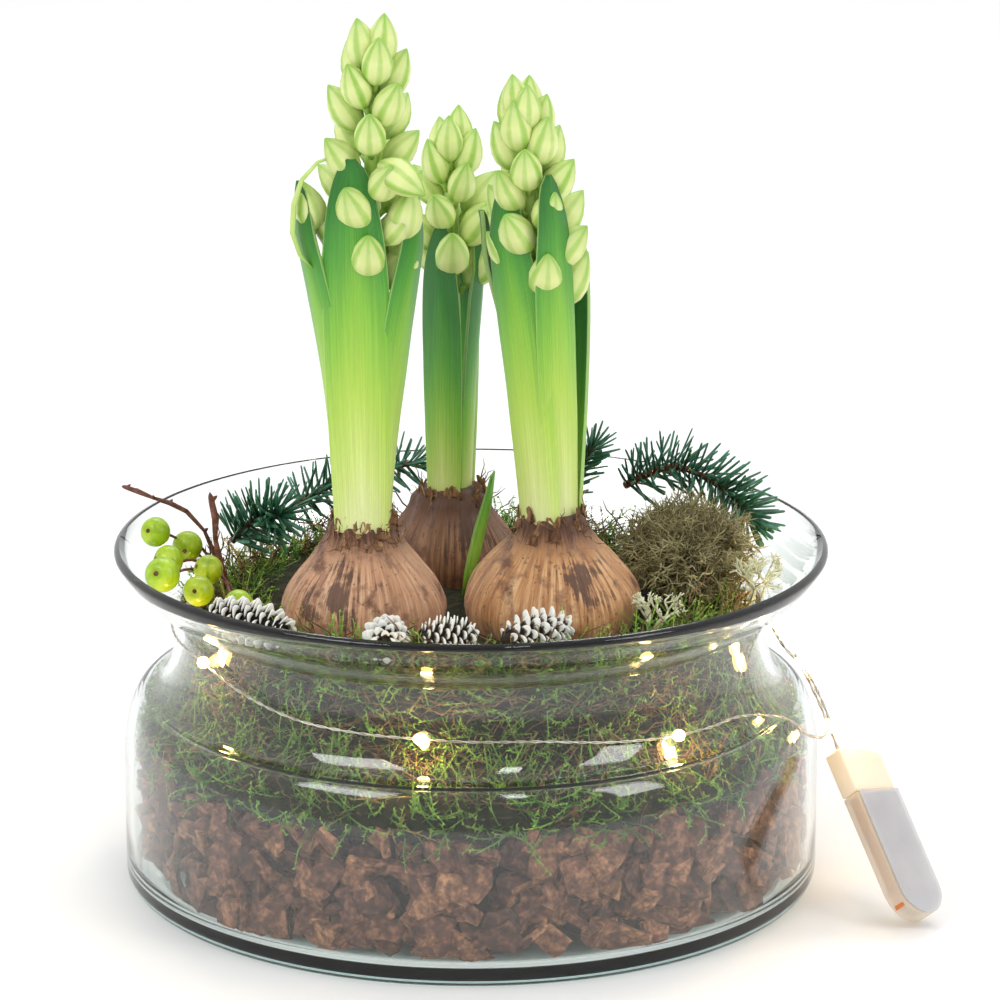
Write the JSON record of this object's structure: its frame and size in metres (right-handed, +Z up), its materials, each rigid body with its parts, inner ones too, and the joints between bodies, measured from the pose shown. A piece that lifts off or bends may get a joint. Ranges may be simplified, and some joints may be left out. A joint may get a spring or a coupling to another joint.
{
  "type": "hyacinths in glass bowl",
  "caption": "Forced hyacinths growing from bare bulbs in a flared glass bowl of bark and moss, dressed with fir, cones, berries and lichen, with a battery light string round its neck.",
  "frame": {"origin": "centre of the bowl's underside, on the surface it stands on", "axes": "+Z up along the bowl's axis, -Y towards the front, +X to the right where the battery case leans"},
  "size_m": [0.2996, 0.26, 0.3232],
  "materials": {
    "bowl_glass": "clear spun glass with a faint green tint",
    "pine_bark": "rough broken bark, reddish brown",
    "moss": "feathery fresh moss, matt",
    "root_fibre": "matted brown roots and peat, matt",
    "bulb_skin": "dry papery scales, half matt",
    "leaf": "smooth waxy leaf, yellow-green at the foot and darker at the tip",
    "flower_bud": "waxy closed buds, cream with green stripes",
    "fir_needle": "waxy blue-green needles",
    "berry": "smooth half-gloss skin, lime green",
    "twig_bark": "thin rough bark",
    "frosted_cone": "dark scales with white frosted edges, matt",
    "dry_lichen": "dry wiry lichen, matt",
    "pale_lichen": "pale dry lichen, matt",
    "wire": "thin silvered copper wire",
    "lamp_resin": "clear resin drop round a lit warm lamp chip",
    "frosted_plastic": "frosted translucent moulding",
    "cell_steel": "button cell can",
    "copper_strip": "bare copper-coloured contact"
  },
  "bodies": {
    "root": {"glass_bowl": "bowl_glass", "bark_bed": "pine_bark", "moss_bed": "moss", "offset_shoot": "leaf", "root_ball_left": "root_fibre", "bulb_left": "bulb_skin", "flower_spike_left": "flower_bud", "leaf_left_front": "leaf", "leaf_left_right": "leaf", "leaf_left_outer": "leaf", "leaf_left_behind": "leaf", "root_ball_right": "root_fibre", "bulb_right": "bulb_skin", "flower_spike_right": "flower_bud", "leaf_right_front_left": "leaf", "leaf_right_front_right": "leaf", "leaf_right_outer": "leaf", "leaf_right_behind": "leaf", "root_ball_back": "root_fibre", "bulb_back": "bulb_skin", "flower_spike_back": "flower_bud", "leaf_back_front": "leaf", "leaf_back_right": "leaf", "leaf_back_behind": "leaf", "fir_sprig_left": "fir_needle", "fir_sprig_back_left": "fir_needle", "fir_sprig_right": "fir_needle", "fir_sprig_back_right": "fir_needle", "berry_1": "berry", "berry_2": "berry", "berry_3": "berry", "berry_4": "berry", "berry_5": "berry", "berry_6": "berry", "berry_7": "berry", "berry_twig_long": "twig_bark", "berry_twig_short": "twig_bark", "larch_cone_big_left": "frosted_cone", "larch_cone_end_on": "frosted_cone", "larch_cone_middle": "frosted_cone", "larch_cone_right": "frosted_cone", "lichen_tuft": "dry_lichen", "pale_lichen_front": "pale_lichen", "pale_lichen_side": "pale_lichen", "light_wire": "wire", "lamp_bead_1": "lamp_resin", "lamp_bead_2": "lamp_resin", "lamp_bead_3": "lamp_resin", "lamp_bead_4": "lamp_resin", "lamp_bead_5": "lamp_resin", "lamp_bead_6": "lamp_resin", "lamp_bead_7": "lamp_resin", "lamp_bead_8": "lamp_resin", "lamp_bead_9": "lamp_resin", "battery_case": "frosted_plastic", "battery_cover": "frosted_plastic", "battery_cap": "frosted_plastic", "battery_cell_lower": "cell_steel", "battery_cell_upper": "cell_steel", "contact_strip": "copper_strip"}
  },
  "joints": []
}
